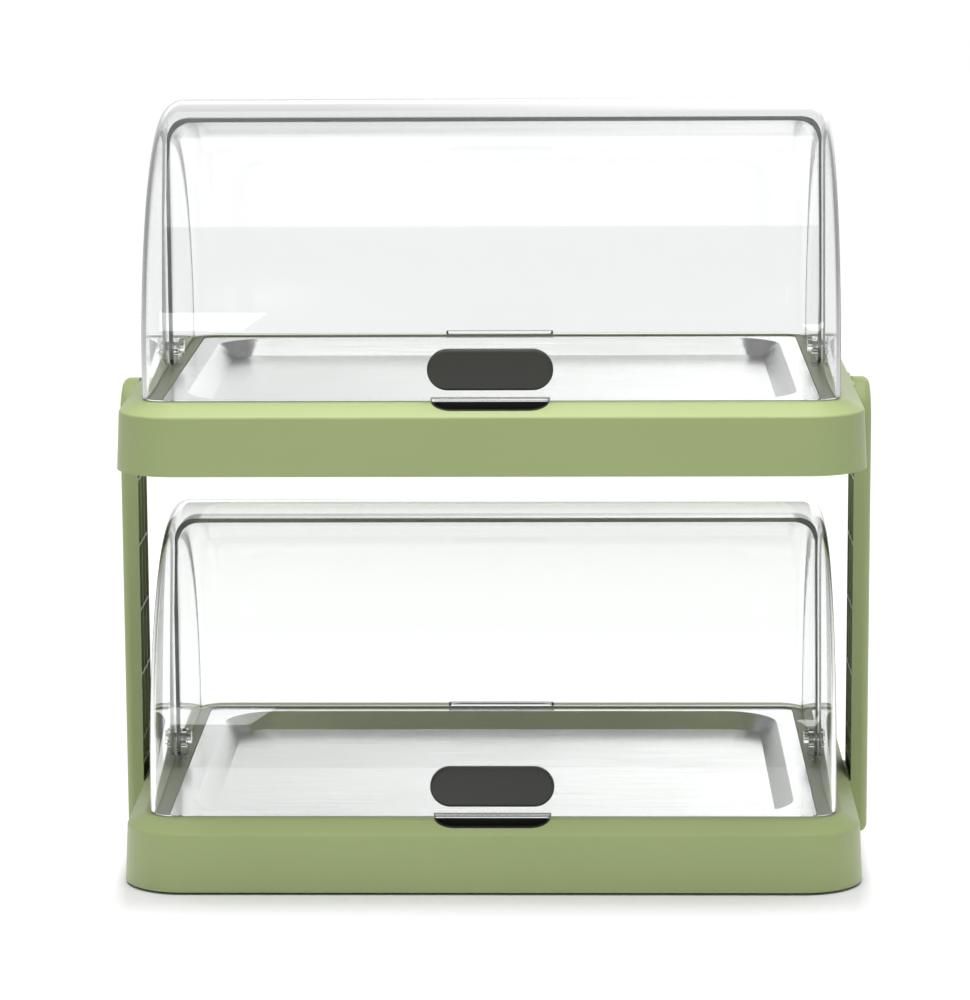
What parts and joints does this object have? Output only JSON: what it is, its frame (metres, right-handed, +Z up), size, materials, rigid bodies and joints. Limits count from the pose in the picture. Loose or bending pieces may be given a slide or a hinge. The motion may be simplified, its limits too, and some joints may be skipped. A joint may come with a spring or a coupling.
{
  "type": "refrigerated roll-top display",
  "caption": "Two-tier chilled food display: steel trays over cooling packs on moulded bases, each under a clear roll-top cover of nested quarter-round shells.",
  "frame": {"origin": "on the table, under the middle of the lower base", "axes": "+X to the right, +Y to the back, +Z up; the front covers open over the back"},
  "size_m": [0.44, 0.32, 0.4347],
  "materials": {
    "base_moulding": "satin sage green moulding",
    "steel": "brushed stainless sheet",
    "pack": "pale blue blow-moulded skin",
    "plug": "white plug",
    "clear": "clear styrene plastic",
    "grip": "satin dark grey",
    "clip": "dark grey push-on clip",
    "liner": "black liner",
    "screw": "plated screws",
    "foot": "black rubber"
  },
  "bodies": {
    "frame": {"lower_base": "base_moulding", "lower_left_cooling_pack": "pack", "lower_right_cooling_pack": "pack", "lower_pack_plugs": "plug", "lower_left_hinge_post": "clear", "lower_right_hinge_post": "clear", "lower_left_hinge_pin": "clear", "lower_right_hinge_pin": "clear", "lower_front_finger_liner": "liner", "lower_rear_finger_liner": "liner", "upper_base": "base_moulding", "upper_left_cooling_pack": "pack", "upper_right_cooling_pack": "pack", "upper_pack_plugs": "plug", "upper_left_hinge_post": "clear", "upper_right_hinge_post": "clear", "upper_left_hinge_pin": "clear", "upper_right_hinge_pin": "clear", "upper_front_finger_liner": "liner", "upper_rear_finger_liner": "liner", "left_column": "base_moulding", "right_column": "base_moulding", "left_column_screws": "screw", "right_column_screws": "screw", "feet": "foot"},
    "lower_front_cover": {"lower_front_shell": "clear", "lower_front_grip": "grip", "lower_grip_clips": "clip"},
    "lower_rear_cover": {"lower_rear_shell": "clear"},
    "lower_tray_body": {"lower_tray": "steel"},
    "upper_front_cover": {"upper_front_shell": "clear", "upper_front_grip": "grip", "upper_grip_clips": "clip"},
    "upper_rear_cover": {"upper_rear_shell": "clear"},
    "upper_tray_body": {"upper_tray": "steel"}
  },
  "joints": [
    {"name": "lower_front_cover_hinge", "type": "hinge", "parent": "frame", "child": "lower_front_cover", "pos_m": [0, 0.002, 0.0525], "axis": [-1, 0, 0], "range_deg": [0, 93]},
    {"name": "lower_rear_cover_hinge", "type": "hinge", "parent": "frame", "child": "lower_rear_cover", "pos_m": [0, 0.002, 0.0525], "axis": [1, 0, 0], "range_deg": [0, 85]},
    {"name": "lower_tray_lift", "type": "slide", "parent": "frame", "child": "lower_tray_body", "axis": [0, 0, 1], "range_m": [0, 0.011]},
    {"name": "upper_front_cover_hinge", "type": "hinge", "parent": "frame", "child": "upper_front_cover", "pos_m": [0, 0.002, 0.2897], "axis": [-1, 0, 0], "range_deg": [0, 93]},
    {"name": "upper_rear_cover_hinge", "type": "hinge", "parent": "frame", "child": "upper_rear_cover", "pos_m": [0, 0.002, 0.2897], "axis": [1, 0, 0], "range_deg": [0, 85]},
    {"name": "upper_tray_lift", "type": "slide", "parent": "frame", "child": "upper_tray_body", "axis": [0, 0, 1], "range_m": [0, 0.011]}
  ]
}
